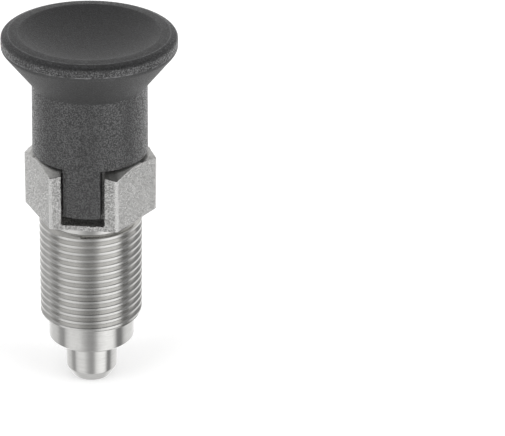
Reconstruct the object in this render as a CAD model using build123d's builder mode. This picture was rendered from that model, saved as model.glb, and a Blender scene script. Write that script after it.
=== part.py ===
from build123d import *
from math import atan2, cos, pi, radians, sin, sqrt, tan
import os

# Indexing plunger M20 x 1.5 with a mushroom pull knob, in millimetres.
#
# +Z points from the pin's nose to the knob. The origin lies on the axis, in the plane of the hexagon's
# underside, which seats on the plate that the plunger is screwed into. The two deep slots face -Y and +Y,
# and two corners of the hexagon lie on the X axis. The pin stands out, as its spring holds it, and the
# knob's tongues are down in the deep slots. To park the pin the knob is lifted, turned a quarter turn and
# set down in the shallow groove, which leaves the nose just inside the pilot.

# ---------------------------------------------------------------- driving dimensions

# hexagon
hex_across_flats = 22.0
hex_height = 12.0
hex_edge_radius = 0.3
hex_bevel_diameter = 20.6  # where the conical bevel of the corners starts on the top face
hex_bevel_angle = 30.0  # down from the top face

# deep slots for the tongues, and the shallow groove that parks them
slot_width = 8.2
slot_depth = 3.2  # inwards from the flat
slot_floor = 1.0  # above the underside
slot_corner_radius = 0.5
parking_groove_depth = 0.6

# barrel under the hexagon
relief_diameter = 17.9
relief_length = 2.05
relief_side_angle = 8.0  # of the side towards the thread, from the plane of the underside
thread_diameter = 20.0
thread_end_depth = 23.0  # from the underside to the end of the thread
thread_chamfer = 0.5
pilot_diameter = 16.7
pilot_length = 5.2
pilot_chamfer = 0.3

# bores of the sleeve
chamber_diameter = 13.0
guide_length = 8.0
bore_mouth_chamfer = 0.4

# locking pin
pin_diameter = 10.0
pin_projection = 8.8  # out of the pilot
nose_bevel_length = 2.0
nose_bevel_angle = 30.0  # from the axis
nose_groove_length = 1.0  # runout between the part of the pin that locates and the part that slides
nose_groove_depth = 0.25
collar_length = 6.0
stem_diameter = 6.0
seat_band_diameter = 6.6  # knurled band that the knob grips
seat_band_length = 8.0

# running clearances, radial
pin_clearance = 0.03
collar_clearance = 0.06
stem_clearance = 0.05

# guide bush
bush_length = 4.0
bush_depth = 1.0  # below the top of the hexagon

# compression spring
wire_diameter = 1.1
chamber_wall_gap = 0.5  # radial
active_turns = 4
closed_turn_gap = 0.05
steps_per_turn = 12  # straight steps that the wire's line is drawn in
wire_sides = 8  # flats that the wire's round section is drawn with

# pull knob
knob_diameter = 33.0
knob_height = 23.9  # from the end of the shank to the lip
shank_gap = 0.25  # from the top of the hexagon to the shank
shank_diameter = 22.0
shank_length = 13.85
shank_taper = 0.12  # less on the radius at the neck
flare_drop = 2.86  # from the lip down to where the flare would meet the widest ring
under_rim_radius = 1.05
rim_overhang = 1.35  # widest ring beyond the lip
lip_width = 1.8
lip_fall = 0.1  # how much the lip falls outwards
dish_depth = 2.6
shank_wall = 3.0
shank_edge_chamfer = 0.3
core_height = 18.0
boss_wall = 2.2
boss_recess = 2.0  # from the end of the shank up to the boss
stem_cover = 2.5  # plastic between the end of the stem and the dish
tongue_width = 7.1
tongue_length = 10.05  # below the end of the shank
tongue_back_gap = 0.3  # to the inner wall of the slot
tongue_edge_chamfer = 0.4
tongue_play_turn = -1.5  # degrees: where the tongues rest within their play in the slots

# ---------------------------------------------------------------- places along the axis

thread_end = -thread_end_depth
barrel_end = thread_end - pilot_length
chamber_floor = barrel_end + guide_length
collar_top = chamber_floor + collar_length
pin_end = barrel_end - pin_projection
bush_top = hex_height - bush_depth
bush_bottom = bush_top - bush_length
shank_end = hex_height + shank_gap
lip_top = shank_end + knob_height
core_top = shank_end + core_height
boss_end = shank_end + boss_recess
stem_end = lip_top - dish_depth - stem_cover
seat_band_end = core_top
seat_band_start = seat_band_end - seat_band_length

chamber_radius = chamber_diameter / 2
pin_radius = pin_diameter / 2
stem_radius = stem_diameter / 2
seat_band_radius = seat_band_diameter / 2
slot_back = hex_across_flats / 2 - slot_depth

# ---------------------------------------------------------------- threaded sleeve

with BuildPart() as threaded_sleeve:
    with BuildSketch():
        RegularPolygon(hex_across_flats / 2, 6, major_radius=False)
    extrude(amount=hex_height)
    fillet(threaded_sleeve.edges().filter_by(Axis.Z), hex_edge_radius)

    # one cone bevels the six corners of the top face
    bevel_start = hex_bevel_diameter / 2
    bevel_run = hex_across_flats / sqrt(3) - bevel_start + 1
    with BuildSketch(Plane.XZ):
        with BuildLine():
            Polyline(
                (bevel_start, hex_height),
                (bevel_start + bevel_run, hex_height),
                (bevel_start + bevel_run, hex_height - bevel_run * tan(radians(hex_bevel_angle))),
                close=True,
            )
        make_face()
    revolve(axis=Axis.Z, mode=Mode.SUBTRACT)

    # barrel: relief groove, thread, pilot
    thread_radius = thread_diameter / 2
    relief_radius = relief_diameter / 2
    pilot_radius = pilot_diameter / 2
    thread_start = -relief_length - (thread_radius - relief_radius) * tan(radians(relief_side_angle))
    with BuildSketch(Plane.XZ):
        with BuildLine():
            Polyline(
                (0, 0),
                (relief_radius, 0),
                (relief_radius, -relief_length),
                (thread_radius, thread_start),
                (thread_radius, thread_end + thread_chamfer),
                (thread_radius - thread_chamfer, thread_end),
                (pilot_radius, thread_end),
                (pilot_radius, barrel_end + pilot_chamfer),
                (pilot_radius - pilot_chamfer, barrel_end),
                (0, barrel_end),
                close=True,
            )
        make_face()
    revolve(axis=Axis.Z)

    # spring chamber from the top, guide bore for the pin below it
    guide_radius = pin_radius + pin_clearance
    with BuildSketch(Plane.XZ):
        with BuildLine():
            Polyline(
                (0, hex_height),
                (chamber_radius, hex_height),
                (chamber_radius, chamber_floor),
                (guide_radius, chamber_floor),
                (guide_radius, barrel_end + bore_mouth_chamfer),
                (guide_radius + bore_mouth_chamfer, barrel_end),
                (0, barrel_end),
                close=True,
            )
        make_face()
    revolve(axis=Axis.Z, mode=Mode.SUBTRACT)

    # a deep slot in the front flat and one in the rear flat, open at the top
    slot_height = hex_height - slot_floor + slot_corner_radius
    front_slot = Plane.XZ.offset(slot_back)
    rear_slot = Plane(origin=(0, slot_back, 0), x_dir=(-1, 0, 0), z_dir=(0, 1, 0))
    with BuildSketch(front_slot, rear_slot):
        with Locations((0, slot_floor + slot_height / 2)):
            RectangleRounded(slot_width, slot_height, slot_corner_radius)
    extrude(amount=slot_depth, mode=Mode.SUBTRACT)

    # one shallow groove, a quarter turn from the slots, parks both tongues
    with BuildSketch(Plane.XY.offset(hex_height)):
        Rectangle(2 * hex_across_flats, slot_width)
    extrude(amount=-parking_groove_depth, mode=Mode.SUBTRACT)
threaded_sleeve.part.label = "threaded_sleeve"

# ---------------------------------------------------------------- locking pin

with BuildPart() as locking_pin:
    nose_radius = pin_radius - nose_bevel_length * tan(radians(nose_bevel_angle))
    collar_radius = chamber_radius - collar_clearance
    with BuildSketch(Plane.XZ):
        with BuildLine():
            Polyline(
                (0, pin_end),
                (nose_radius, pin_end),
                (pin_radius, pin_end + nose_bevel_length),
                (pin_radius, barrel_end),
                (pin_radius - nose_groove_depth, barrel_end),
                (pin_radius - nose_groove_depth, barrel_end + nose_groove_length),
                (pin_radius, barrel_end + nose_groove_length),
                (pin_radius, chamber_floor),
                (collar_radius, chamber_floor),
                (collar_radius, collar_top),
                (stem_radius, collar_top),
                (stem_radius, seat_band_start),
                (seat_band_radius, seat_band_start),
                (seat_band_radius, seat_band_end),
                (stem_radius, seat_band_end),
                (stem_radius, stem_end),
                (0, stem_end),
                close=True,
            )
        make_face()
    revolve(axis=Axis.Z)
locking_pin.part.label = "locking_pin"

# ---------------------------------------------------------------- guide bush, pressed into the chamber

with BuildPart() as guide_bush:
    with BuildSketch(Plane.XY.offset(bush_bottom)):
        Circle(chamber_radius)
        Circle(stem_radius + stem_clearance, mode=Mode.SUBTRACT)
    extrude(amount=bush_length)
guide_bush.part.label = "guide_bush"

# ---------------------------------------------------------------- compression spring, its ends closed

with BuildPart() as compression_spring:
    coil_radius = chamber_radius - chamber_wall_gap - wire_diameter / 2
    spring_height = bush_bottom - collar_top
    closed_pitch = wire_diameter + closed_turn_gap
    active_pitch = (spring_height - 2 * closed_pitch) / active_turns
    coil_points = []
    for step in range((active_turns + 2) * steps_per_turn + 1):
        turn = step / steps_per_turn
        active_part = min(max(turn - 1, 0), active_turns)
        climb = closed_pitch * (turn - active_part) + active_pitch * active_part
        x = coil_radius * cos(2 * pi * turn)
        y = coil_radius * sin(2 * pi * turn)
        coil_points.append((x, y, collar_top + climb))
    with BuildLine():
        coil = Polyline(*coil_points)
    with BuildSketch(Plane(origin=coil @ 0, z_dir=coil % 0)):
        RegularPolygon(wire_diameter / 2, wire_sides)
    sweep(path=coil, transition=Transition.RIGHT)
    # grinding leaves only what lies between the collar and the bush
    with BuildSketch(Plane.XY.offset(collar_top)):
        Circle(chamber_radius)
    extrude(amount=spring_height, mode=Mode.INTERSECT)
compression_spring.part.label = "compression_spring"

# ---------------------------------------------------------------- pull knob

with BuildPart() as pull_knob:
    knob_radius = knob_diameter / 2
    shank_radius = shank_diameter / 2
    shank_foot = (shank_radius, shank_end)
    neck = (shank_radius - shank_taper, shank_end + shank_length)
    lip_outer = (knob_radius - rim_overhang, lip_top - lip_fall)
    lip_inner = (lip_outer[0] - lip_width, lip_top)
    # the flare runs into the widest ring by an arc that ends upright
    flare_corner = lip_top - flare_drop
    flare_turn = atan2(knob_radius - neck[0], flare_corner - neck[1])
    blend_run = under_rim_radius * tan(flare_turn / 2)
    flare_end = (knob_radius - blend_run * sin(flare_turn), flare_corner - blend_run * cos(flare_turn))
    widest_ring = (knob_radius, flare_corner + blend_run)
    with BuildSketch(Plane.XZ) as head:
        with BuildLine():
            Line((0, shank_end), shank_foot)
            Line(shank_foot, neck)
            flare = Line(neck, flare_end)
            TangentArc(flare_end, widest_ring, tangent=flare % 1)
            TangentArc(widest_ring, lip_outer, tangent=(0, 1))
            Polyline(lip_outer, lip_inner, (0, lip_top), (0, shank_end))
        make_face()
        chamfer(head.vertices().sort_by_distance(shank_foot)[0], shank_edge_chamfer)
    revolve(axis=Axis.Z)

    # a ball hollows the dish, with its poles turned to the sides, clear of the dish
    dish_radius = (lip_inner[0] ** 2 + dish_depth**2) / (2 * dish_depth)
    with Locations((0, 0, lip_top - dish_depth + dish_radius)):
        Sphere(dish_radius, rotation=(90, 0, 0), mode=Mode.SUBTRACT)

    # hollow core, open below, with a boss round the stem
    core_radius = shank_radius - shank_wall
    boss_radius = seat_band_radius + boss_wall
    with BuildSketch(Plane.XZ):
        with BuildLine():
            Polyline(
                (0, shank_end),
                (core_radius, shank_end),
                (core_radius, core_top),
                (boss_radius, core_top),
                (boss_radius, boss_end),
                (0, boss_end),
                close=True,
            )
        make_face()
    revolve(axis=Axis.Z, mode=Mode.SUBTRACT)

    # the plastic is moulded round the stem and grips its band
    with BuildSketch(Plane.XZ):
        with BuildLine():
            Polyline(
                (0, boss_end),
                (stem_radius, boss_end),
                (stem_radius, seat_band_start),
                (seat_band_radius, seat_band_start),
                (seat_band_radius, seat_band_end),
                (stem_radius, seat_band_end),
                (stem_radius, stem_end),
                (0, stem_end),
                close=True,
            )
        make_face()
    revolve(axis=Axis.Z, mode=Mode.SUBTRACT)

    # two tongues go on down from the wall of the shank, which shapes their outer sides
    tongue_end = shank_end - tongue_length
    tongue_root = shank_end + shank_wall
    tongue_back = slot_back + tongue_back_gap
    with BuildSketch(Plane.XY.offset(tongue_end).rotated((0, 0, tongue_play_turn))):
        Circle(shank_radius)
        Rectangle(tongue_width, 2 * shank_radius, mode=Mode.INTERSECT)
        Rectangle(tongue_width, 2 * tongue_back, mode=Mode.SUBTRACT)
    extrude(amount=tongue_root - tongue_end)
    tongue_tips = pull_knob.faces().filter_by(Axis.Z).group_by(Axis.Z)[0]
    chamfer(tongue_tips.edges(), tongue_edge_chamfer)
pull_knob.part.label = "pull_knob"

# ---------------------------------------------------------------- one file per piece

os.makedirs("parts", exist_ok=True)
for piece in (threaded_sleeve, locking_pin, guide_bush, compression_spring, pull_knob):
    export_step(piece.part, f"parts/{piece.part.label}.step")
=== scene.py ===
# %% [markdown]
# # An indexing plunger with a pull knob
#
# An indexing plunger locks a slide, a seat or a turntable. A spring pushes the steel pin out of a threaded
# sleeve and into a hole, and the plastic knob pulls it back. The sizes, the mounts and the joint come from
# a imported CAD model, which is loaded first and never moved. This script makes what the eye sees: a true
# thread, moulded and turned edges, and the finish of each material.

from math import asin, atan2, cos, hypot, pi, radians, sin, tan

import bmesh
import bpy
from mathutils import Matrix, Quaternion, Vector, noise


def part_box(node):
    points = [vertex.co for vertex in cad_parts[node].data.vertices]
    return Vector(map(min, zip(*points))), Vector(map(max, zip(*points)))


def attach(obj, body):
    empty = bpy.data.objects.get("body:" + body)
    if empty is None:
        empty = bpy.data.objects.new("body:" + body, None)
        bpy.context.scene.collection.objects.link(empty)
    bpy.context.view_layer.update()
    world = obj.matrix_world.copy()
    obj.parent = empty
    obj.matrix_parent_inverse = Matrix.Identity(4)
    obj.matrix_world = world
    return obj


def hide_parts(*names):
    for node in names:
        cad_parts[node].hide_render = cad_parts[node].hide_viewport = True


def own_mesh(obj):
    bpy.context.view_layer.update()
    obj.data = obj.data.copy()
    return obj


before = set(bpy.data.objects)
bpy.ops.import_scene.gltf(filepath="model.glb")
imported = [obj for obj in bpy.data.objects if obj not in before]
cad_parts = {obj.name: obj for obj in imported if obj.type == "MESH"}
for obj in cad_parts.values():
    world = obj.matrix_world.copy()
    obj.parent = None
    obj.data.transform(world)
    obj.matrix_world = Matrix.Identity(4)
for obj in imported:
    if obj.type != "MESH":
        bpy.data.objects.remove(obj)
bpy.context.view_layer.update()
print("CAD nodes:", ", ".join(sorted(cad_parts)))

# %% [markdown]
# ## Working in millimetres
#
# Blender's tools have thresholds that suit objects of about a metre, and this object is as long as a
# finger. So each piece is modelled with one Blender unit as a millimetre, and it is scaled to metres at
# the very end. The main places are read from the CAD nodes, so that a new size there moves the pieces here
# too.

# %% Main places, read from the CAD nodes
MM = 0.001


def box_mm(node):
    """Lowest and highest corner of a CAD node, in millimetres."""
    low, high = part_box(node)
    return low / MM, high / MM


sleeve_low, sleeve_high = box_mm("threaded_sleeve")
pin_low, pin_high = box_mm("locking_pin")
bush_low, bush_high = box_mm("guide_bush")
spring_low, spring_high = box_mm("compression_spring")
knob_low, knob_high = box_mm("pull_knob")

hex_top = sleeve_high.z
flat_distance = sleeve_high.y
barrel_end = sleeve_low.z
pin_end = pin_low.z
stem_end = pin_high.z
chamber_radius = bush_high.x
knob_radius = knob_high.x
lip_height = knob_high.z
tongue_end = knob_low.z
print(f"plunger from {pin_end:.2f} to {lip_height:.2f} mm along its axis")

# %% [markdown]
# ## Turned pieces
#
# Most of a plunger is made on a lathe, where a tool follows an outline while the work turns. A lathe never
# leaves a perfectly sharp corner, so the corners of each outline get small arcs before it is turned. Those
# arcs are what catches the light on a real edge. A bevel afterwards would do too, but an arc in the
# outline costs one number.

# %% An outline with rounded corners
ARC_STEP = radians(12)


def rounded(corners):
    """Points of an outline given as (radius, height, rounding) corners, with arcs of that rounding."""
    points = []
    for index, (radius, height, rounding) in enumerate(corners):
        corner = Vector((radius, height))
        if not rounding:
            points.append(corner)
            continue
        before = Vector(corners[index - 1][:2])
        after = Vector(corners[(index + 1) % len(corners)][:2])
        way_in = (corner - before).normalized()
        way_out = (after - corner).normalized()
        turn_angle = way_in.angle(way_out)
        reach = rounding * tan(turn_angle / 2)
        steps = max(2, round(turn_angle / ARC_STEP))
        side = 1 if way_in.cross(way_out) > 0 else -1
        centre = corner - way_in * reach + side * rounding * Vector((-way_in.y, way_in.x))
        spoke = corner - way_in * reach - centre
        for step in range(steps + 1):
            angle = side * turn_angle * step / steps
            x = spoke.x * cos(angle) - spoke.y * sin(angle)
            y = spoke.x * sin(angle) + spoke.y * cos(angle)
            points.append(centre + Vector((x, y)))
    return points


# %% [markdown]
# ## Turning an outline
#
# Blender's spin works like a lathe. One vertex is extruded from point to point of the outline, and the
# line that it leaves is spun round the axis. The cutter of the thread and the wire of the spring are drawn
# in the same way, so drawing a line has a function of its own.

# %% Draw a line and turn it
TURN_STEPS = 144
MERGE_DISTANCE = 0.0005


def start_piece():
    """Leaves nothing selected, so that an operator acts on the new piece alone."""
    bpy.ops.object.select_all(action="DESELECT")


def take_up(piece):
    """Makes a piece the active and only selected one, so that operators act on it."""
    start_piece()
    bpy.context.view_layer.objects.active = piece
    piece.select_set(True)


def draw_line(name, points):
    """A new piece that is a line through those points. It stays in edit mode."""
    start_piece()
    bpy.ops.mesh.primitive_plane_add(size=1)
    piece = bpy.context.object
    piece.name = name
    bpy.ops.object.mode_set(mode="EDIT")
    bpy.ops.mesh.merge(type="CENTER")
    here = Vector((0, 0, 0))
    for index, point in enumerate(points):
        step = [there - start for there, start in zip(point, here)]
        if index == 0:
            bpy.ops.transform.translate(value=step)
        else:
            bpy.ops.mesh.extrude_vertices_move(TRANSFORM_OT_translate={"value": step})
        here = Vector(point)
    return piece


def turn(name, outline, steps=TURN_STEPS):
    """Spins (radius, height) points round the Z axis. They run from axis to axis, or are a loop."""
    piece = draw_line(name, [(point[0], 0, point[1]) for point in outline])
    bpy.ops.mesh.select_all(action="SELECT")
    bpy.ops.mesh.spin(steps=steps, angle=2 * pi, center=(0, 0, 0), axis=(0, 0, 1))
    bpy.ops.mesh.select_all(action="SELECT")
    bpy.ops.mesh.remove_doubles(threshold=MERGE_DISTANCE)
    bpy.ops.mesh.normals_make_consistent(inside=False)
    bpy.ops.object.mode_set(mode="OBJECT")
    print(f"{name}: {len(outline)} points turned in {steps} steps")
    return piece


# %% [markdown]
# ## Cutting and joining
#
# Slots, bores and the thread are cut away from a solid, as a milling cutter or a tap would do it. A
# Boolean modifier subtracts the shape of the cutter and is applied at once, so the result is a plain mesh
# again.

# %% Boolean cuts and cutters


def combine(piece, tool, operation):
    """Applies a Boolean of the tool to the piece and deletes the tool."""
    take_up(piece)
    modifier = piece.modifiers.new("Cut", "BOOLEAN")
    modifier.operation = operation
    modifier.solver = "EXACT"
    modifier.object = tool
    bpy.ops.object.modifier_apply(modifier=modifier.name)
    bpy.data.objects.remove(tool)
    return piece


def block(low, high, turned=0.0):
    """A cutter's box between two corners, turned round the Z axis by some degrees."""
    start_piece()
    low, high = Vector(low), Vector(high)
    bpy.ops.mesh.primitive_cube_add(size=1)
    tool = bpy.context.object
    bpy.ops.object.mode_set(mode="EDIT")
    bpy.ops.transform.resize(value=high - low, center_override=(0, 0, 0))
    bpy.ops.transform.translate(value=(low + high) / 2)
    bpy.ops.object.mode_set(mode="OBJECT")
    tool.rotation_euler.z = radians(turned)
    bpy.ops.object.transform_apply(rotation=True)
    return tool


# %% [markdown]
# ## Rounding chosen edges
#
# Some edges run where no lathe could round them, such as those of the slots. They get a bevel. An edge is
# chosen by a small test, such as how sharp it is or how high it lies, because its number in the mesh
# changes whenever a size does.

# %% Choose edges or faces, and round edges


def edit_mesh(piece, kind):
    """Opens a piece in edit mode with nothing selected, and returns its bmesh."""
    take_up(piece)
    bpy.ops.object.mode_set(mode="EDIT")
    bpy.ops.mesh.select_mode(type=kind)
    bpy.ops.mesh.select_all(action="DESELECT")
    return bmesh.from_edit_mesh(piece.data)


def end_edit():
    """Goes back to selecting vertices and leaves edit mode."""
    bpy.ops.mesh.select_mode(type="VERT")
    bpy.ops.object.mode_set(mode="OBJECT")


def select_edges(piece, chosen):
    """Selects the edges for which chosen(edge) is true, stays in edit mode and returns their number."""
    mesh = edit_mesh(piece, "EDGE")
    edges = [edge for edge in mesh.edges if chosen(edge)]
    for edge in edges:
        edge.select_set(True)
    bmesh.update_edit_mesh(piece.data)
    return len(edges)


def select_faces(piece, chosen):
    """Selects the faces for which chosen(centre, normal) is true, and stays in edit mode."""
    mesh = edit_mesh(piece, "FACE")
    for face in mesh.faces:
        face.select_set(chosen(face.calc_center_median(), face.normal))
    bmesh.update_edit_mesh(piece.data)


def bevel_edges(piece, width, steps, chosen):
    """Rounds the edges for which chosen(edge) is true. The edge is a bmesh edge."""
    count = select_edges(piece, chosen)
    bpy.ops.mesh.bevel(offset=width, segments=steps, affect="EDGES", clamp_overlap=False)
    end_edit()
    print(f"{piece.name}: {count} edges rounded by {width:.2f} mm")


def sharp(edge, degrees):
    """True where the faces beside an edge turn by more than that."""
    return len(edge.link_faces) == 2 and edge.calc_face_angle() > radians(degrees)


def at_height(edge, height):
    """True where both ends of an edge lie at that height."""
    return all(abs(vertex.co.z - height) < 0.01 for vertex in edge.verts)


# %% [markdown]
# ## The hexagon
#
# The sleeve begins as a casting with a hexagon. It is made as the real one is: first a prism with six
# sides, then a cone turned over its corners. The cone is a solid of its own here, and the hexagon keeps
# what lies inside it.

# %% Model the hexagon
hex_edge_radius = 0.3
hex_bevel_radius = 10.3  # where the cone meets the top
hex_bevel_slope = tan(radians(30))
beyond = 1.0  # how far a cutter reaches past what it cuts

start_piece()
corner_radius = flat_distance / cos(pi / 6)
bpy.ops.mesh.primitive_cylinder_add(
    vertices=6,
    radius=corner_radius,
    depth=hex_top,
    location=(0, 0, hex_top / 2),
)
sleeve = bpy.context.object
sleeve.name = "sleeve_with_thread"
sleeve.rotation_euler.z = radians(30)
bpy.ops.object.transform_apply(location=True, rotation=True)


def upright(edge):
    """True for an edge that runs along the Z axis."""
    a, b = (vertex.co for vertex in edge.verts)
    return abs(a.z - b.z) > 0.9 * (a - b).length


# a bevel is as wide as the distance from the corner to where the rounding starts
bevel_edges(sleeve, hex_edge_radius * tan(pi / 6), 4, upright)

cone_reach = corner_radius + beyond
cone_foot = hex_top - (cone_reach - hex_bevel_radius) * hex_bevel_slope
cone_tip_radius = hex_bevel_radius - beyond / hex_bevel_slope
cone_outline = [
    (0, -beyond),
    (cone_reach, -beyond),
    (cone_reach, cone_foot),
    (cone_tip_radius, hex_top + beyond),
    (0, hex_top + beyond),
]
combine(sleeve, turn("corner_cone", cone_outline), "INTERSECT")
print("hexagon faces:", len(sleeve.data.polygons))

# %% [markdown]
# The flats at front and back each have a deep slot, in which a tongue of the knob stands. A shallow groove
# across the top, a quarter turn away, parks the tongues and holds the pin back. Both are cut with boxes.
# The slots' boxes are rounded along the floor first, so that the cut leaves a rounded corner there.

# %% Cut the slots and the parking groove
slot_width = 8.2
slot_depth = 3.2
slot_floor = 1.0
slot_corner = 0.5
slot_turn = -0.8  # degrees that the slots stand turned from the middle of their flats
parking_depth = 0.6


def floor_corner(edge):
    """True for the two lower edges of a slot's cutter that run into the hexagon."""
    return at_height(edge, slot_floor) and abs(edge.verts[0].co.x - edge.verts[1].co.x) < 0.01


slot_back = flat_distance - slot_depth
for side in (-1, 1):
    y_low, y_high = sorted((side * slot_back, side * (flat_distance + beyond)))
    slot_cutter = block((-slot_width / 2, y_low, slot_floor), (slot_width / 2, y_high, hex_top + beyond))
    bevel_edges(slot_cutter, slot_corner, 5, floor_corner)
    slot_cutter.rotation_euler.z = radians(slot_turn)
    bpy.ops.object.transform_apply(rotation=True)
    combine(sleeve, slot_cutter, "DIFFERENCE")

groove_reach = corner_radius + beyond
groove_cutter = block(
    (-groove_reach, -slot_width / 2, hex_top - parking_depth),
    (groove_reach, slot_width / 2, hex_top + beyond),
)
combine(sleeve, groove_cutter, "DIFFERENCE")
print("hexagon faces with its slots:", len(sleeve.data.polygons))

# %% [markdown]
# Below the hexagon the sleeve is turned: a relief groove, the barrel that takes the thread, and a smooth
# pilot. Its outline ends inside the hexagon, half way up to the floor of the slots. Any higher, and it
# would stand in the slots, where the tongues move.

# %% Add the barrel
relief_radius = 8.95
relief_length = 2.05
relief_side = tan(radians(8))
crest_radius = 9.92
thread_end = -23.0
thread_chamfer = 0.5
pilot_radius = 8.35
pilot_chamfer = 0.3
turned_edge = 0.06

barrel_outline = rounded(
    [
        (0, barrel_end, 0),
        (pilot_radius - pilot_chamfer, barrel_end, turned_edge),
        (pilot_radius, barrel_end + pilot_chamfer, turned_edge),
        (pilot_radius, thread_end, 0.5),
        (crest_radius - thread_chamfer, thread_end, turned_edge),
        (crest_radius, thread_end + thread_chamfer, turned_edge),
        (crest_radius, -relief_length - (crest_radius - relief_radius) * relief_side, turned_edge),
        (relief_radius, -relief_length, 0.15),
        (relief_radius, slot_floor / 2, 0),
        (0, slot_floor / 2, 0),
    ]
)
combine(sleeve, turn("barrel", barrel_outline), "UNION")

# %% [markdown]
# The sleeve is bored from both ends: a close guide for the pin below, and a wide chamber for the spring
# above. The step between them stops the pin's collar. One turned cutter makes the whole bore.

# %% Bore the chamber and the guide
guide_radius = 5.03
guide_length = 8.0
chamber_floor = barrel_end + guide_length
mouth = 0.4
bore_outline = [
    (0, barrel_end - beyond),
    (guide_radius + mouth + beyond, barrel_end - beyond),
    (guide_radius, barrel_end + mouth),
    (guide_radius, chamber_floor),
    (chamber_radius, chamber_floor),
    (chamber_radius, hex_top + beyond),
    (0, hex_top + beyond),
]
combine(sleeve, turn("bore", bore_outline), "DIFFERENCE")
print("sleeve faces before the thread:", len(sleeve.data.polygons))

# %% [markdown]
# ## The thread
#
# M20 x 1.5 is a fine thread: about fourteen turns, 1.5 mm apart. A screw modifier could draw the whole
# surface, but the two ends would then need mending by hand. So the cutter's point is drawn instead, as on
# a lathe, and the screw modifier winds it round the barrel. It starts below the thread and ends above it,
# and the Boolean cut gives the true run-out at both ends.

# %% Draw the point of the thread's cutter
pitch = 1.5
root_radius = 9.14
root_width = 0.16
root_rounding = 0.12
flank_angle = radians(30)
crest_edge = 0.04  # rounding where the flank meets the crest
crest_steps = 4
cutter_top = crest_radius + 0.12


def cutter_outline():
    """Half of the cutter's point, from its root to above the crests, as (radius, half width)."""
    at_crest = root_width / 2 + (crest_radius - root_radius) * tan(flank_angle)
    corners = [
        (root_radius, 0, 0),
        (root_radius, root_width / 2, root_rounding),
        (crest_radius, at_crest, 0),
    ]
    points = rounded(corners)[:-1]
    # the flank rolls over into the crest
    reach = crest_edge * tan(flank_angle)
    roll = radians(60)
    for step in range(crest_steps + 1):
        left = roll - roll * step / crest_steps
        radius = crest_radius - crest_edge + crest_edge * cos(left)
        points.append(Vector((radius, at_crest + reach - crest_edge * sin(left))))
    points.append(Vector((cutter_top, at_crest + reach)))
    return points


half = cutter_outline()
whole = half + [Vector((point.x, -point.y)) for point in reversed(half) if point.y > 0]
print("points round the cutter's point:", len(whole))

# %% [markdown]
# The screw modifier turns the cutter's point and lifts it by one pitch in each turn. Its ends are open, so
# they are filled before the cut, because an exact Boolean needs a closed solid.

# %% Wind the cutter and cut the thread
thread_turns = 15.25
first_groove = -1.585  # middle of the groove under the hexagon, where it crosses the +X axis
groove_end_height = first_groove - 15 * pitch  # the same groove fifteen turns lower

cutter_points = [Vector((point.x, 0, point.y + groove_end_height)) for point in whole]
thread_cutter = draw_line("thread_cutter", cutter_points)
bpy.ops.mesh.select_all(action="SELECT")
bpy.ops.mesh.edge_face_add()
bpy.ops.object.mode_set(mode="OBJECT")
winding = thread_cutter.modifiers.new("Winding", "SCREW")
winding.axis = "Z"
winding.angle = 2 * pi * thread_turns
winding.screw_offset = pitch * thread_turns
winding.steps = round(TURN_STEPS * thread_turns)
winding.render_steps = winding.steps
winding.use_smooth_shade = False
bpy.ops.object.modifier_apply(modifier=winding.name)
print("thread cutter faces:", len(thread_cutter.data.polygons))

take_up(thread_cutter)
bpy.ops.object.mode_set(mode="EDIT")
bpy.ops.mesh.select_mode(type="VERT")
bpy.ops.mesh.select_all(action="SELECT")
bpy.ops.mesh.remove_doubles(threshold=MERGE_DISTANCE)
bpy.ops.mesh.fill_holes(sides=0)
bpy.ops.mesh.select_all(action="SELECT")
bpy.ops.mesh.normals_make_consistent(inside=False)
bpy.ops.object.mode_set(mode="OBJECT")
combine(sleeve, thread_cutter, "DIFFERENCE")
print("sleeve faces with the thread:", len(sleeve.data.polygons))

# %% [markdown]
# ## Finishing a piece
#
# Every piece ends in the same way. It is scaled to metres, its smooth faces are shaded smooth and its
# edges stay crisp, its CAD node is hidden, and it is hung under the body that carries it. Its object stays
# at the origin, so a pattern on Object coordinates lies where it should.

# %% What every piece gets at the end
SMOOTH_ANGLE = radians(24)


def finish_piece(piece, node, body):
    """Scales a piece to metres, hangs it under its body and hides its CAD node."""
    take_up(piece)
    piece.scale = (MM, MM, MM)
    bpy.ops.object.transform_apply(location=True, rotation=True, scale=True)
    bpy.ops.object.shade_smooth_by_angle(angle=SMOOTH_ANGLE)
    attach(piece, body)
    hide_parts(node)
    triangles = sum(len(face.vertices) - 2 for face in piece.data.polygons)
    print(f"{piece.name}: {triangles} triangles, rides on {body}")


# %% [markdown]
# ## The locking pin
#
# The pin is turned in one piece and ground where it slides: a bevelled nose that finds its hole, a collar
# that stops against the step in the sleeve, and a slim stem up to the knob. All of it is one outline for
# the lathe.

# %% Turn the pin
pin_clearance = 0.03
pin_radius = guide_radius - pin_clearance
nose_length = 2.0
nose_radius = pin_radius - nose_length * tan(radians(30))
runout_length = 1.0  # of the groove where the grinding wheel runs out
runout_depth = 0.25
collar_radius = pin_high.x
collar_top = chamber_floor + 6.0
stem_radius = 3.0
band_radius = 3.3  # the band that the knob is pressed on
band_low = 22.25
band_high = 30.25

pin_outline = rounded(
    [
        (0, pin_end, 0),
        (nose_radius, pin_end, 0.15),
        (pin_radius, pin_end + nose_length, 0.6),
        (pin_radius, barrel_end, 0.04),
        (pin_radius - runout_depth, barrel_end, 0.1),
        (pin_radius - runout_depth, barrel_end + runout_length, 0.1),
        (pin_radius, barrel_end + runout_length, 0.04),
        (pin_radius, chamber_floor, 0.1),
        (collar_radius, chamber_floor, 0.3),
        (collar_radius, collar_top, 0.3),
        (stem_radius, collar_top, 0.3),
        (stem_radius, band_low, 0),
        (band_radius, band_low, 0.05),
        (band_radius, band_high, 0.05),
        (stem_radius, band_high, 0),
        (stem_radius, stem_end, 0.2),
        (0, stem_end, 0),
    ]
)
pin = turn("pin_turned", pin_outline)

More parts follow.
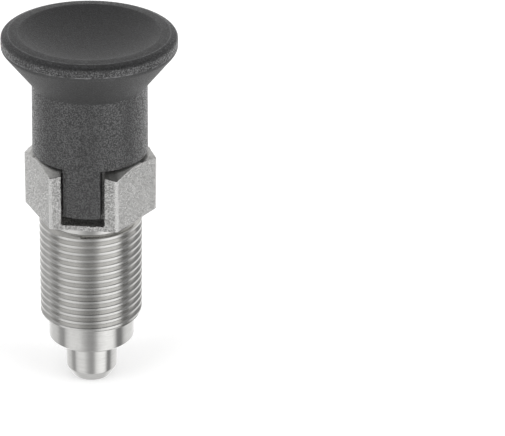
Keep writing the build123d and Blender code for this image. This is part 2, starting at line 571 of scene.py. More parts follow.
# %% [markdown]
# ## The guide bush
#
# A small ring is pressed into the top of the sleeve once the pin and the spring are in. It guides the stem
# and the spring pushes against it.

# %% Turn the bush
bush_radius = bush_high.x
stem_clearance = 0.05
bush_bore = stem_radius + stem_clearance
bush_edge = 0.2
bush_outline = rounded(
    [
        (bush_bore, bush_low.z, bush_edge),
        (bush_radius, bush_low.z, bush_edge),
        (bush_radius, bush_high.z, bush_edge),
        (bush_bore, bush_high.z, bush_edge),
    ]
)
bush = turn("bush_turned", bush_outline + bush_outline[:1])

# %% [markdown]
# ## The compression spring
#
# The spring is drawn wire of 1.1 mm, wound round the stem. Its first and last turn lie close to their
# neighbours, so that it pushes straight. A line is drawn along the helix, and it becomes a curve with the
# round section of the wire.

# %% Wind the spring
wire_radius = 0.55
wall_gap = 0.5
coil_radius = chamber_radius - wall_gap - wire_radius
active_turns = 4
closed_turns = 2
closed_gap = 0.05
steps_in_turn = 40
spring_height = spring_high.z - spring_low.z
closed_pitch = 2 * wire_radius + closed_gap
active_pitch = (spring_height - closed_turns * closed_pitch) / active_turns


def coil_point(turns):
    """A point of the wire's line after some turns from its lower end."""
    active = min(max(turns - closed_turns / 2, 0), active_turns)
    climb = closed_pitch * (turns - active) + active_pitch * active
    angle = 2 * pi * turns
    return Vector((coil_radius * cos(angle), coil_radius * sin(angle), spring_low.z + climb))


all_steps = (active_turns + closed_turns) * steps_in_turn
spring = draw_line("spring_wound", [coil_point(step / steps_in_turn) for step in range(all_steps + 1)])
bpy.ops.object.mode_set(mode="OBJECT")
bpy.ops.object.convert(target="CURVE")
spring = bpy.context.object
spring.data.bevel_depth = wire_radius
spring.data.bevel_resolution = 4
spring.data.use_fill_caps = True
bpy.ops.object.convert(target="MESH")
spring = bpy.context.object
print(f"wire of {active_turns + closed_turns} turns, {spring_height:.2f} mm high")

# %% [markdown]
# The ends of the wire are ground flat, so that they lie flat on the collar and the bush. Bisecting the
# mesh with a plane does the same and fills the cut.

# %% Grind the ends of the spring
bpy.ops.object.mode_set(mode="EDIT")
for height, upper in ((spring_low.z, False), (spring_high.z, True)):
    bpy.ops.mesh.select_all(action="SELECT")
    bpy.ops.mesh.remove_doubles(threshold=MERGE_DISTANCE)
    bpy.ops.mesh.select_all(action="SELECT")
    bpy.ops.mesh.bisect(
        plane_co=(0, 0, height),
        plane_no=(0, 0, 1),
        use_fill=True,
        clear_inner=not upper,
        clear_outer=upper,
    )
bpy.ops.mesh.select_all(action="SELECT")
bpy.ops.mesh.normals_make_consistent(inside=False)
bpy.ops.object.mode_set(mode="OBJECT")
print("spring faces:", len(spring.data.polygons))

# %% [markdown]
# ## The pull knob
#
# The knob is one moulding in dark plastic: a dished mushroom head, a hollow shank, a boss round the stem
# and two tongues. Head, shank and core are round, so they are turned, with the shank as long as the
# tongues.

# %% Main measures of the knob
shank_gap = 0.25  # over the hexagon
shank_radius = 11.0
shank_length = 13.85
shank_taper = 0.12
shank_wall = 3.0
neck_rounding = 0.12
core_height = 18.0
boss_wall = 2.2
boss_recess = 2.0
rim_overhang = 1.35  # of the widest ring beyond the lip
lip_width = 1.8
lip_fall = 0.1
lip_rounding = 0.14
flare_drop = 2.86  # from the lip down to where the flare would meet the widest ring
under_rim_rounding = 1.05

shank_end = hex_top + shank_gap
neck_radius = shank_radius - shank_taper
neck_height = shank_end + shank_length
core_radius = shank_radius - shank_wall
core_top = shank_end + core_height
boss_radius = band_radius + boss_wall
boss_end = shank_end + boss_recess
lip_outer = Vector((knob_radius - rim_overhang, lip_height - lip_fall))
lip_inner = Vector((lip_outer.x - lip_width, lip_height))
flare_corner_height = lip_height - flare_drop
print(f"shank from {shank_end:.2f} to {neck_height:.2f} mm, lip at {lip_height:.2f} mm")

# %% [markdown]
# The rim is an arc from the widest ring up to the lip, and the dish is part of a sphere. The two halves of
# the mould met on the wall of the rim, just above the widest ring. A hair of plastic stands up along that
# line. It starts as a low ridge in the outline.

# %% Rim, parting ridge and dish
flare_turn = atan2(knob_radius - neck_radius, flare_corner_height - neck_height)
widest_height = flare_corner_height + under_rim_rounding * tan(flare_turn / 2)
rise = lip_outer.y - widest_height
rim_reach = knob_radius - lip_outer.x
rim_rounding = (rim_reach**2 + rise**2) / (2 * rim_reach)
rim_turn = asin(rise / rim_rounding)
rim_corner_height = widest_height + rim_rounding * tan(rim_turn / 2)

parting_ridge = 0.06
ridge_height = widest_height + 0.22
ridge_half = 0.09  # half of the ridge's width at its foot
ridge_top_half = ridge_half * 0.4
rim_wall = 0.3  # how far the wall stands above the corner of the arc

dish_depth = 2.6
dish_radius = (lip_inner.x**2 + dish_depth**2) / (2 * dish_depth)
dish_centre = lip_height - dish_depth + dish_radius
dish_steps = 18


def dish_point(share):
    """A point of the dish, from its middle (0) out to the lip (1)."""
    angle = asin(lip_inner.x / dish_radius) * share
    return dish_radius * sin(angle), dish_centre - dish_radius * cos(angle), 0


print(f"widest ring at {widest_height:.2f} mm, parting ridge at {ridge_height:.2f} mm")

# %% [markdown]
# The outline starts at the end of the stem. It runs down the boss and the hollow of the shank, up outside
# over the shank, the flare and the rim, and in across the dish to the axis.

# %% Turn the knob
knob_outline = rounded(
    [
        (0, stem_end, 0),
        (stem_radius, stem_end, 0),
        (stem_radius, band_high, 0),
        (band_radius, band_high, 0),
        (band_radius, band_low, 0),
        (stem_radius, band_low, 0),
        (stem_radius, boss_end, 0.2),
        (boss_radius, boss_end, 0.3),
        (boss_radius, core_top, 0.5),
        (core_radius, core_top, 0.5),
        (core_radius, tongue_end, 0),
        (shank_radius, tongue_end, 0),
        (shank_radius, shank_end, 0),
        (neck_radius, neck_height, neck_rounding),
        (knob_radius, flare_corner_height, under_rim_rounding),
        (knob_radius, ridge_height - ridge_half, 0),
        (knob_radius + parting_ridge, ridge_height - ridge_top_half, 0),
        (knob_radius + parting_ridge, ridge_height + ridge_top_half, 0),
        (knob_radius, ridge_height + ridge_half, 0),
        (knob_radius, rim_corner_height + rim_wall, 0.8),
        (lip_outer.x, lip_outer.y, lip_rounding),
        (lip_inner.x, lip_inner.y, lip_rounding),
    ]
    + [dish_point(share / dish_steps) for share in range(dish_steps - 1, -1, -1)]
)
knob = turn("knob_moulded", knob_outline, steps=180)

# %% [markdown]
# Three boxes cut the shank back to its real end and leave the tongues standing, as the slides of a mould
# would. A tongue is a little narrower than its slot, and it leans to one side of that play.

# %% Cut the shank back to its end between the tongues
tongue_half = 3.55
tongue_back_gap = 0.3
tongue_back = slot_back + tongue_back_gap
lean = slot_turn - 1.5  # degrees: the tongues turn with the slots, and then to one side of their play
reach = knob_radius
for side in (-1, 1):
    x_low, x_high = sorted((side * tongue_half, side * reach))
    beside_tongues = block((x_low, -reach, tongue_end - beyond), (x_high, reach, shank_end), lean)
    combine(knob, beside_tongues, "DIFFERENCE")
between_tongues = block((-reach, -tongue_back, tongue_end - beyond), (reach, tongue_back, shank_end), lean)
combine(knob, between_tongues, "DIFFERENCE")
print("knob faces:", len(knob.data.polygons))

# %% [markdown]
# Moulded edges are never sharp. The end of each tongue is many thin faces left by the turning, and a bevel
# slides along the edges between them and leaves a spike at the corner. So they are joined into one face
# first.

# %% Round the edges of the shank and the tongues
tip_rounding = 0.4
shank_rounding = 0.25

select_faces(knob, lambda centre, normal: abs(centre.z - tongue_end) < 0.01)
bpy.ops.mesh.dissolve_limited(angle_limit=radians(1))
end_edit()
bevel_edges(knob, tip_rounding, 4, lambda edge: at_height(edge, tongue_end) and sharp(edge, 40))


def on_circle(edge, radius):
    """True where both ends of an edge lie at that distance from the axis."""
    return all(abs(hypot(vertex.co.x, vertex.co.y) - radius) < 0.05 for vertex in edge.verts)


def shank_rim(edge):
    """True for the outer lower rim of the shank, and not for the roots of the tongues."""
    middle = (edge.verts[0].co + edge.verts[1].co) / 2
    return at_height(edge, shank_end) and on_circle(edge, shank_radius) and abs(middle.x) > tongue_half


bevel_edges(knob, shank_rounding, 4, lambda edge: shank_rim(edge) and sharp(edge, 40))

# %% [markdown]
# The parting ridge was trimmed in places, so it isn't the same all round. Its vertices are drawn back by
# noise: a coarse one for longer trimmed stretches and a fine one for nicks. This noise gives one number,
# which is a fixed function of the place, so it gives the same ridge every time.

# %% Break up the ridge of the parting line
mesh = edit_mesh(knob, "VERT")
trimmed = 0
for vertex in mesh.verts:
    radius = hypot(vertex.co.x, vertex.co.y)
    if radius > knob_radius + parting_ridge / 2:
        patch = noise.noise(Vector((vertex.co.x, vertex.co.y, 0)) * 0.9)
        speck = noise.noise(Vector((vertex.co.x, vertex.co.y, 7)) * 4)
        left_over = min(max(0.45 + 1.3 * patch + 0.6 * speck, 0), 1)
        shorter = (knob_radius + parting_ridge * left_over) / radius
        vertex.co.x *= shorter
        vertex.co.y *= shorter
        trimmed += 1
bmesh.update_edit_mesh(knob.data)
end_edit()
print("ridge vertices trimmed:", trimmed)

# %% [markdown]
# ## Edges of the casting
#
# The edges of the slots and the grooves are as cast, with a small uneven rounding. Long edges get new
# vertices first, because only a vertex can be moved later. The subdivide operator would also join the new
# vertices across a face, and across the top of the hexagon that means over the open slots. Bisecting an
# edge divides the edge alone.

# %% Round the cast edges
cast_edge = 0.12
wall_margin = 0.3  # beyond the wall of the chamber, whose edges the lathe has cut


def cast(edge):
    """True for the sharp outer edges of the hexagon, its slots and its parking grooves."""
    low = min(vertex.co.z for vertex in edge.verts)
    near = min(hypot(vertex.co.x, vertex.co.y) for vertex in edge.verts)
    return low > 0.4 and near > chamber_radius + wall_margin and sharp(edge, 26)


def divide_edges(piece, cuts, chosen):
    """Puts that many new vertices on each edge for which chosen(edge) is true, and divides no face."""
    select_edges(piece, chosen)
    mesh = bmesh.from_edit_mesh(piece.data)
    bmesh.ops.bisect_edges(mesh, edges=[edge for edge in mesh.edges if edge.select], cuts=cuts)
    bmesh.update_edit_mesh(piece.data)
    end_edit()


short_to = 1.5  # edges up to this length stay whole
long_from = 5.0  # edges from this length on are divided more often
divide_edges(sleeve, 5, lambda edge: short_to < edge.calc_length() < long_from and cast(edge))
divide_edges(sleeve, 20, lambda edge: edge.calc_length() >= long_from and cast(edge))
bevel_edges(sleeve, cast_edge, 3, cast)

# %% [markdown]
# Now the vertices of that rounding are moved a little by noise. They are known by their short edges. Noise
# for a whole vector takes its offsets from a random state, which starts with the clock. So the state gets
# a seed first, and every run gives the same edges.

# %% Make the cast edges uneven
unevenness = 0.1
UNEVEN_SEED = 3
noise.seed_set(UNEVEN_SEED)
mesh = edit_mesh(sleeve, "VERT")
moved = 0
for vertex in mesh.verts:
    lengths = [edge.calc_length() for edge in vertex.link_edges]
    if min(lengths) < 2 * cast_edge and vertex.co.z > slot_floor - 2 * cast_edge:
        if hypot(vertex.co.x, vertex.co.y) > chamber_radius + wall_margin:
            vertex.co += unevenness * noise.noise_vector(vertex.co * 1.7)
            moved += 1
bmesh.update_edit_mesh(sleeve.data)
end_edit()
print("uneven edge vertices:", moved)

# %% [markdown]
# ## Shader maths
#
# A finish is a network of nodes. To keep its maths readable, a small class wraps a socket and overloads
# Python's operators, so that an expression adds the Math nodes that it stands for.

# %% Sockets that can be used in expressions


class Signal:
    """An output socket that Python's operators work on."""

    def __init__(self, bench, socket):
        self.bench = bench
        self.socket = socket

    def maths(self, operation, *others):
        """The result of a Math node with this signal as its first value."""
        values = {index + 1: other for index, other in enumerate(others)}
        return self.bench.add("ShaderNodeMath", {"operation": operation}, {0: self, **values})

    def __add__(self, other):
        return self.maths("ADD", other)

    __radd__ = __add__

    def __sub__(self, other):
        return self.maths("SUBTRACT", other)

    def __rsub__(self, other):
        return self.maths("MULTIPLY", -1) + other

    def __mul__(self, other):
        return self.maths("MULTIPLY", other)

    __rmul__ = __mul__

    def __truediv__(self, other):
        return self.maths("DIVIDE", other)


# %% [markdown]
# Every other node comes from one method of a bench. It takes the type of the node, its settings, and the
# values or links of its sockets. The methods below it name the patterns that the finishes share.

# %% A bench that adds nodes


class Bench:
    """The node tree of a finish or of the studio, with one way to add a node."""

    def __init__(self, name, tree):
        self.name = name
        self.tree = tree
        tree.nodes.clear()

    def add(self, kind, settings=None, values=None, output=0):
        """Adds a node, makes its settings, then sets or links its sockets. Returns one of its outputs."""
        node = self.tree.nodes.new(kind)
        for name, setting in (settings or {}).items():
            if name == "stops":
                self.set_stops(node.color_ramp, setting)
            elif name == "interpolation":
                node.color_ramp.interpolation = setting
            else:
                setattr(node, name, setting)
        for name, value in (values or {}).items():
            if isinstance(value, Signal):
                self.tree.links.new(value.socket, node.inputs[name])
            else:
                node.inputs[name].default_value = value
        if not node.outputs:
            return node
        return Signal(self, node.outputs[output])

    def set_stops(self, ramp, stops):
        """Gives a colour ramp its stops, each a (place, level) pair."""
        while len(ramp.elements) > 1:
            ramp.elements.remove(ramp.elements[-1])
        for index, (place, level) in enumerate(stops):
            stop = ramp.elements[0] if index == 0 else ramp.elements.new(place)
            stop.position = place
            stop.color = (level, level, level, 1)

    def split(self, vector):
        """The three numbers of a vector."""
        node = self.add("ShaderNodeSeparateXYZ", None, {0: vector}).socket.node
        return [Signal(self, socket) for socket in node.outputs]

    def join(self, x, y, z):
        """A vector from three numbers."""
        return self.add("ShaderNodeCombineXYZ", None, {0: x, 1: y, 2: z})

    def ramp(self, signal, stops, interpolation="LINEAR"):
        """The level of a ramp at that signal, from 0 to 1."""
        settings = {"interpolation": interpolation, "stops": stops}
        return self.add("ShaderNodeValToRGB", settings, {"Fac": signal})

    def noise(self, place, scale, detail=2.0, roughness=0.5):
        """Noise between 0 and 1 at that place, with features about 1 / scale apart."""
        values = {"Vector": place, "Scale": scale, "Detail": detail, "Roughness": roughness}
        return self.add("ShaderNodeTexNoise", {"noise_dimensions": "3D"}, values)

    def stretch(self, signal):
        """Noise keeps near 0.5. This spreads the part that it uses over 0 to 1."""
        return self.ramp(signal, ((0.38, 0), (0.62, 1)))

    def near(self, signal, value, reach):
        """1 where a signal has that value, falling to 0 at that distance from it."""
        return self.ramp((signal - value).maths("ABSOLUTE") / reach, ((0, 1), (1, 0)))

    def between(self, share, first, second):
        """A colour between two, by a share from 0 to 1."""
        # a Mix node has a socket A, B and Result for each type of value, and those of colours are 6, 7 and 2
        return self.add("ShaderNodeMix", {"data_type": "RGBA"}, {"Factor": share, 6: first, 7: second}, 2)

    def bump(self, height, depth):
        """A normal from a height from 0 to 1, where 1 stands for that depth in metres."""
        return self.add("ShaderNodeBump", None, {"Height": height, "Distance": depth, "Strength": 1.0})


# %% [markdown]
# A finish starts with the place of each point and ends with a Principled surface. The five bare metals end
# in the same way, so they share a function.

# %% How a finish starts and ends


def finish(name):
    """A new material, as a bench and the place of each point on the piece in metres."""
    material = bpy.data.materials.new(name)
    material.use_nodes = True
    bench = Bench(name, material.node_tree)
    place = bench.add("ShaderNodeTexCoord", output="Object")
    return material, bench, place


def surface(bench, **values):
    """Ends a finish with a Principled surface. Underscores in the names stand for spaces."""
    named = {name.replace("_", " "): value for name, value in values.items()}
    shader = bench.add("ShaderNodeBsdfPrincipled", None, named)
    bench.add("ShaderNodeOutputMaterial", None, {"Surface": shader})
    print(f"{bench.name}: {len(bench.tree.nodes)} nodes")


def bare_metal(bench, share, dull, bright, roughness, height, depth):
    """Ends a finish as bare metal, whose reflected colour goes from dull to bright with that share."""
    surface(
        bench,
        Base_Color=bench.between(share, (*dull, 1), (*bright, 1)),
        Metallic=1.0,
        Roughness=roughness,
        Normal=bench.bump(height, depth),
    )


# %% [markdown]
# ## Finish of the cast hexagon
#
# The hexagon keeps the skin of its casting: bare stainless steel with a fine sandy grain of about a
# quarter of a millimetre. It's a metal, so its grey is what it reflects. The grain is mostly relief. Two
# sizes of noise are added up, and the same grain makes the hollows a little darker and rougher than the
# tips. The corners and the rim of the bevel get a painted highlight: their grey is raised towards the
# bright end, where those edges catch the light.

# %% Make the cast finish
grain_depth = 0.00028
corner_from = 0.0118  # metres from the axis, just inside the corners of the hexagon
rim_reach = 0.00035

cast_steel, bench, place = finish("cast_stainless")
grain = bench.noise(place, 3600, 3, 0.62)
fine_grain = bench.noise(place, 9000, 2, 0.6)
patches = bench.noise(place, 420, 3, 0.55)
height = grain * 0.7 + fine_grain * 0.3
shade = bench.stretch(height * 0.93 + patches * 0.07)
x, y, z = bench.split(place)
radius = (x * x + y * y).maths("SQRT")
corner_share = bench.ramp((radius - corner_from) * 1000 + (grain - 0.5) * 0.3, ((0.62, 0), (0.76, 1)))
below_bevel = z + (radius - hex_bevel_radius * MM) * hex_bevel_slope - hex_top * MM
rim_share = bench.near(below_bevel, 0.0, rim_reach) * bench.ramp(grain, ((0.35, 0.3), (0.6, 1)))
# Painted highlight: near the corners and along the rim of the bevel the grey is pushed to the bright end.
painted_highlight = corner_share.maths("MAXIMUM", rim_share)
grain_and_highlight = shade * (1 - painted_highlight) + painted_highlight
dull, bright = (0.33, 0.326, 0.318), (0.98, 0.975, 0.96)
bare_metal(bench, grain_and_highlight, dull, bright, 0.38 - 0.16 * grain_and_highlight, height, grain_depth)

# %% [markdown]
# ## Finish of the turned steel
#
# The thread, the pilot and the bores are turned. The tool leaves fine rings round the axis, so the pattern
# may change along the axis and outwards, and hardly at all round it. The noise is therefore read at a
# place made of the radius and the height, with only a little of the real place to let the rings come and
# go.

# %% Make the turned finish


def rings(bench, place, along, wander):
    """A place for noise that makes rings round the axis: along is rings per metre."""
    x, y, z = bench.split(place)
    radius = (x * x + y * y).maths("SQRT")
    return bench.join(radius * along + x * wander, y * wander, z * along)


ring_depth = 0.000003

turned_steel, bench, place = finish("turned_stainless")
marks = bench.noise(rings(bench, place, 9000, 300), 1, 2, 0.6)
deep_marks = bench.noise(rings(bench, place, 2600, 160), 1, 2, 0.5)
stain = bench.noise(place, 700, 3, 0.6)
ring_height = marks * 0.6 + deep_marks * 0.4
shade = bench.stretch(ring_height * 0.6 + stain * 0.4)
dull, bright = (0.64, 0.635, 0.62), (0.72, 0.715, 0.70)
bare_metal(bench, shade, dull, bright, 0.17 - 0.04 * shade, ring_height, ring_depth)

# %% [markdown]
# ## Finish of the faced top
#
# The top of the hexagon was cut across its skin by the same lathe, but it's rougher than the thread: the
# rings of the facing cut lie under a fine grit. The two are added up in equal parts, and only the grit is
# relief.

# %% Make the faced finish of the hexagon's top
grit_depth = 0.00004

faced_steel, bench, place = finish("faced_stainless")
marks = bench.noise(rings(bench, place, 5000, 900), 1, 3, 0.6)
grit = bench.noise(place, 3600, 2, 0.6)
shade = bench.stretch(marks * 0.5 + grit * 0.5)
dull, bright = (0.56, 0.555, 0.54), (0.76, 0.755, 0.74)
bare_metal(bench, shade, dull, bright, 0.38 - 0.08 * shade, grit, grit_depth)

# %% [markdown]
# ## Finish of the ground pin
#
# Grinding leaves finer and shallower rings than turning, so the pin reflects more clearly. The bush is
# finished in the same way.

# %% Make the ground finish
ground_depth = 0.0000022

ground_steel, bench, place = finish("ground_stainless")
marks = bench.noise(rings(bench, place, 14000, 420), 1, 2, 0.6)
deep_marks = bench.noise(rings(bench, place, 3400, 120), 1, 2, 0.5)
ring_height = marks * 0.55 + deep_marks * 0.45
shade = bench.stretch(ring_height)
dull, bright = (0.67, 0.665, 0.65), (0.73, 0.725, 0.71)
bare_metal(bench, shade, dull, bright, 0.22 - 0.05 * shade, ring_height, ground_depth)

# %% [markdown]
# ## Finish of the spring wire
#
# Wire is drawn through a die, which leaves it smooth, a little dull and slightly mottled.

# %% Make the wire's finish
mottle_depth = 0.000008

drawn_wire, bench, place = finish("drawn_stainless_wire")
mottle = bench.noise(place, 2400, 3, 0.6)
dull, bright = (0.50, 0.50, 0.49), (0.64, 0.635, 0.62)
bare_metal(bench, mottle, dull, bright, 0.34 + 0.12 * mottle, mottle, mottle_depth)

# %% [markdown]
# ## Finish of the moulded knob
#
# The knob is dark grey plastic. Its mould was eroded by sparks, which gives every moulded face a fine matt
# grain. The grain is relief, stronger on the shank and the rim than on the dish and the flare, and its
# tips are smoother than the pits. A thin coat on the tips lets the shank and the wall of the rim shine a
# little. Along the parting ridge, the lip and the wall the plastic is painted paler, a painted highlight
# where those edges and that wall catch the light.

# %% Where the grain is strong
plastic_grain_depth = 0.00026
rim_from = 0.0152  # metres from the axis
wall_top = 0.0348  # height in metres, where the wall of the rim begins to fade into the lip

moulded_plastic, bench, place = finish("moulded_dark_grey_plastic")
grain = bench.noise(place, 3700, 1, 0.5)
fine_grain = bench.noise(place, 8000, 1, 0.5)
clouds = bench.noise(place, 260, 3, 0.5)
x, y, z = bench.split(place)
radius = (x * x + y * y).maths("SQRT")
on_shank = bench.ramp((neck_height * MM - z) * 2500 + 0.5, ((0, 0), (1, 1)))
on_rim = bench.ramp((radius - rim_from) * 1000, ((0, 0), (0.5, 1)))
on_rim = on_rim * bench.ramp((z - ridge_height * MM) * 5000 + 0.5, ((0, 0), (1, 1)))
on_wall = on_rim * bench.ramp((z - wall_top) * 1000, ((0, 1), (0.7, 0)))
coarse = 0.4 + 0.6 * on_shank.maths("MAXIMUM", on_rim)
height = 0.5 + (grain * 0.6 + fine_grain * 0.4 - 0.5) * coarse
tips = bench.ramp(height, ((0.47, 0), (0.60, 1)))
print("nodes for the grain:", len(bench.tree.nodes))

# %% [markdown]
# The lines of painted highlight are found by their place: the parting ridge and both edges of the lip have
# a known distance from the axis and a known height. Noise breaks the ridge's line up, and the grain breaks
# up that of the lip.

# %% Paint highlights on the edges and end the plastic's finish
on_ridge = bench.near(z, ridge_height * MM, 0.00016) * bench.near(radius, knob_radius * MM, 0.0003)
on_ridge = on_ridge * bench.ramp(bench.noise(place, 700, 2, 0.6), ((0.40, 0.1), (0.56, 1)))
on_lip = bench.near(radius, lip_outer.x * MM, 0.00020)
on_lip = on_lip + 0.15 * bench.near(radius, lip_inner.x * MM, 0.00026)
on_lip = on_lip * bench.near(z, lip_height * MM, 0.0006) * (0.35 + 0.65 * tips)
# Painted highlight: the parting ridge, both edges of the lip and the wall of the rim are painted paler.
painted_highlight = (on_ridge + on_lip + 0.34 * on_wall * tips).maths("MINIMUM", 1.0)
skin = bench.between(tips * 0.9 + clouds * 0.1, (0.002, 0.002, 0.002, 1), (0.022, 0.0225, 0.025, 1))
surface(
    bench,
    Base_Color=bench.between(painted_highlight, skin, (0.15, 0.15, 0.155, 1)),
    Roughness=0.54 - 0.24 * tips,
    Specular_IOR_Level=1.0,
    IOR=1.59,
    Coat_Weight=(1.5 * tips * on_shank.maths("MAXIMUM", on_wall)).maths("MINIMUM", 1.0),
    Coat_Roughness=0.3,
    Coat_IOR=1.7,
    Normal=bench.bump(height, plastic_grain_depth),
)

# %% [markdown]
# ## Hand the pieces over
#
# The sleeve is one casting with three finishes. The sides and the slots of the hexagon keep the skin of
# the casting. Its top, its bevel and its parking grooves are faced. The underside, the barrel and the bore
# are turned. Each is a material slot of the piece, and faces are given to a slot by their place and
# normal.

# %% Give each piece its finish


def on_hexagon(centre):
    """True outside the bore and above the underside."""
    return centre.z > 0.001 and hypot(centre.x, centre.y) > chamber_radius + 0.05


def faced(centre, normal):
    """True for the top of the hexagon, its bevel and its parking grooves."""
    return on_hexagon(centre) and normal.z > 0.4 and centre.z > hex_top - 1.6


def cast_skin(centre, normal):
    """True for a face of the hexagon that no tool has cut."""
    return on_hexagon(centre) and not faced(centre, normal)


sleeve.data.materials.append(turned_steel)
for index, (material, chosen) in enumerate(((cast_steel, cast_skin), (faced_steel, faced))):
    sleeve.data.materials.append(material)
    select_faces(sleeve, chosen)
    sleeve.active_material_index = index + 1
    bpy.ops.object.material_slot_assign()
    end_edit()
pin.data.materials.append(ground_steel)
bush.data.materials.append(ground_steel)
spring.data.materials.append(drawn_wire)
knob.data.materials.append(moulded_plastic)

finish_piece(sleeve, "threaded_sleeve", "sleeve")
finish_piece(bush, "guide_bush", "sleeve")
finish_piece(spring, "compression_spring", "sleeve")
finish_piece(pin, "locking_pin", "puller")
finish_piece(knob, "pull_knob", "puller")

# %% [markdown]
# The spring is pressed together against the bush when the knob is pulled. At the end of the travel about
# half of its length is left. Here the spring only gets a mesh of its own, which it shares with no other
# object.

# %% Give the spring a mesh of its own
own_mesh(spring)

# %% [markdown]
# ## The studio
#
# Bare metal shows what stands round it, so the studio matters as much as the steel. The walls of the
# studio are laid out as the camera sees them, so the camera's place comes first.

# %% Where the camera stands
camera_azimuth = radians(7.075)
camera_elevation = radians(27.006)
camera_distance = 0.47942
camera_roll = radians(1.4926)
LENS = 177.153
right = Vector((cos(camera_azimuth), sin(camera_azimuth), 0))
aside = 0.031297  # the object stands left of the middle of the picture
aim_height = -0.003182
aim = right * aside + Vector((0, 0, aim_height))
print("the camera looks at", [round(number, 4) for number in aim])

# %% [markdown]
# The world is drawn by direction: two tall soft boxes at the sides, a dark strip between them in front,
# dark gaps at the far sides and a paler wall behind. A world shader gets the direction in which a ray
# leaves, and two shares are made of it here: how far round it points, and how far up.

# %% Directions in the studio
world = bpy.data.worlds.new("studio")
bpy.context.scene.world = world
world.use_nodes = True
studio = Bench("studio", world.node_tree)
direction = studio.add("ShaderNodeTexCoord", output="Generated")
x, y, z = studio.split(direction)
to_camera = x * sin(camera_azimuth) - y * cos(camera_azimuth)
to_right = x * cos(camera_azimuth) + y * sin(camera_azimuth)
round_share = to_right.maths("ARCTAN2", to_camera) / (2 * pi) + 0.5
elevation = z.maths("ARCSINE") / pi + 0.5

BRIGHT = 1.25  # the brightest level in the studio, where 1 is white


def around(*stops):
    """Ramp stops from (degrees to the right of the camera, level) pairs."""
    return [(0.5 + degrees / 360, level / BRIGHT) for degrees, level in stops]


def across(*stops):
    """Ramp stops from (share of a direction, level) pairs, where the share runs from -1 to 1."""
    return [(0.5 + share / 2, level / BRIGHT) for share, level in stops]


def grey(level):
    """A colour of that level."""
    return (level / BRIGHT, level / BRIGHT, level / BRIGHT, 1)


def step_share(low, high):
    """A ramp over the elevation that climbs from 0 to 1 between two angles in degrees."""
    return studio.ramp(elevation, ((0.5 + low / 180, 0), (0.5 + high / 180, 1)), "EASE")


print("nodes for the directions:", len(studio.tree.nodes))

# %% [markdown]
# The walls are one ramp all the way round, given in degrees to the right of the camera. Its lists start
# and end behind the object, where the studio is palest.

# %% Draw the walls
far_left = ((-180, 1.20), (-152, 0.95), (-130, 0.78), (-112, 0.76), (-98, 0.44))
near_left = ((-84, 0.36), (-74, 0.78), (-60, 0.93))
in_front = ((-36, 0.90), (-24, 0.66), (-9, 0.42), (4, 0.385), (12, 0.56), (22, 0.98), (40, 1.20))
near_right = ((60, 1.20), (68, 0.82), (76, 0.26), (90, 0.26))
far_right = ((100, 0.64), (112, 0.88), (150, 0.95), (180, 1.20))
wall_stops = (*far_left, *near_left, *in_front, *near_right, *far_right)
beside = studio.ramp(round_share, around(*wall_stops))
below = grey(0.70)
walls = studio.between(step_share(-66, -44), below, beside)
print("levels round the walls:", len(wall_stops))

# %% [markdown]
# Overhead is a ceiling that is dim from left to right, grey towards the back and almost black towards the
# camera. It is what the top of the hexagon and the dish show.

# %% Draw the ceiling
top_left = ((-0.50, 0.48), (-0.46, 0.42), (-0.38, 0.40), (-0.28, 0.36), (-0.18, 0.30), (-0.09, 0.20))
top_right = ((0.0, 0.16), (0.09, 0.24), (0.19, 0.37), (0.29, 0.44), (0.37, 0.40), (0.44, 0.28), (0.50, 0.28))
above = studio.ramp(to_right * 0.5 + 0.5, across(*top_left, *top_right))
behind = grey(0.64)
dim = grey(0.03)
back_share = studio.ramp(to_camera * 0.5 + 0.5, across((-0.90, BRIGHT), (-0.66, 0.0)), "EASE")
front_share = studio.ramp(to_camera * 0.5 + 0.5, across((0.0, 0.0), (0.25, BRIGHT)), "EASE")
ceiling = studio.between(back_share, above, behind)
overhead = studio.between(front_share, ceiling, dim)
reflected = studio.between(step_share(0, 20), walls, overhead)
print("nodes with the ceiling:", len(studio.tree.nodes))

# %% [markdown]
# Rays of three kinds ask for the world's colour. Those that reflections send out get the studio that is
# drawn above. Those that gather soft light get one even level. Those of the camera's eye get plain white.

# %% Say which rays see what
soft_level = 0.62
full_white = (1, 1, 1, 1)
mirrored = studio.add("ShaderNodeBackground", None, {"Color": reflected, "Strength": BRIGHT})
soft = studio.add("ShaderNodeBackground", None, {"Color": full_white, "Strength": soft_level})
white = studio.add("ShaderNodeBackground", None, {"Color": full_white, "Strength": 1.0})
path = studio.add("ShaderNodeLightPath").socket.node
seen = Signal(studio, path.outputs["Is Camera Ray"])
shine = Signal(studio, path.outputs["Is Glossy Ray"])
lit = studio.add("ShaderNodeMixShader", None, {0: shine, 1: soft, 2: mirrored})
shown = studio.add("ShaderNodeMixShader", None, {0: seen, 1: lit, 2: white})
studio.add("ShaderNodeOutputWorld", None, {"Surface": shown})
print(f"{studio.name}: {len(studio.tree.nodes)} nodes")

# %% [markdown]
# ## Floor, lamps and camera
#
# The plunger stands on its pin on a pale floor that takes its soft shadow. The floor is left out of the
# metal's reflections, where the studio's world is seen instead.

# %% Lay the floor
floor_size = 6

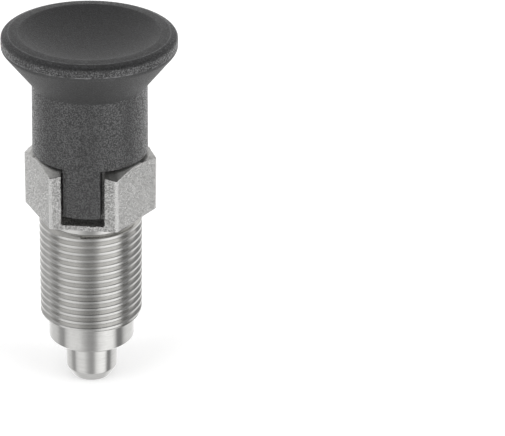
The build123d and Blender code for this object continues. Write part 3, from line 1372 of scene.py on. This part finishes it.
start_piece()
bpy.ops.mesh.primitive_plane_add(size=floor_size, location=(0, 0, pin_end * MM))
floor = bpy.context.object
floor.name = "floor"
floor.visible_glossy = False
floor_paint, bench, place = finish("pale_floor")
paper = bench.noise(place, 900, 3, 0.5)
surface(
    bench,
    Base_Color=bench.between(paper, (0.90, 0.90, 0.90, 1), (0.94, 0.94, 0.94, 1)),
    Roughness=0.9,
    Emission_Color=full_white,
    Emission_Strength=0.25,
)
floor.data.materials.append(floor_paint)
print(f"{floor.name}: {floor_size} m wide, {-pin_end:.2f} mm under the hexagon")

# %% [markdown]
# Two square area lamps add a soft light from the left and the right. Metal would show them as hard white
# squares, so they are left out of reflections as well. The world above already draws the boxes that the
# metal needs.

# %% Hang the lamps
lamp_distance = 0.9


def soft_box(name, direction, size, power):
    """A square area lamp in that direction from the plunger, facing it."""
    start_piece()
    place = Vector(direction).normalized() * lamp_distance
    bpy.ops.object.light_add(type="AREA", location=place)
    lamp = bpy.context.object
    lamp.name = name
    lamp.data.size = size
    lamp.data.energy = power
    lamp.rotation_euler = place.to_track_quat("Z", "Y").to_euler()
    lamp.visible_glossy = False
    print(f"{name}: {power} W, {size} m wide")


soft_box("lamp_left", (-0.6, -0.5, 1.0), size=0.7, power=3.0)
soft_box("lamp_right", (0.8, -0.3, 0.9), size=0.7, power=3.0)

# %% [markdown]
# The camera stands about half a metre away with a long lens, so perspective is weak. It's turned towards
# its aim and then rolled a little about its own line of sight.

# %% Set up the camera
start_piece()
bpy.ops.object.camera_add()
camera = bpy.context.object
camera.location = camera_distance * Vector(
    (
        sin(camera_azimuth) * cos(camera_elevation),
        -cos(camera_azimuth) * cos(camera_elevation),
        sin(camera_elevation),
    )
)
looking = (aim - camera.location).to_track_quat("-Z", "Y") @ Quaternion((0, 0, 1), camera_roll)
camera.rotation_euler = looking.to_euler()
camera.data.lens = LENS
camera.data.sensor_width = 36
camera.data.clip_start = 0.01
camera.data.clip_end = 10
bpy.context.scene.camera = camera
bpy.context.scene.view_settings.view_transform = "Standard"
print("the camera stands at", [round(number, 4) for number in camera.location])
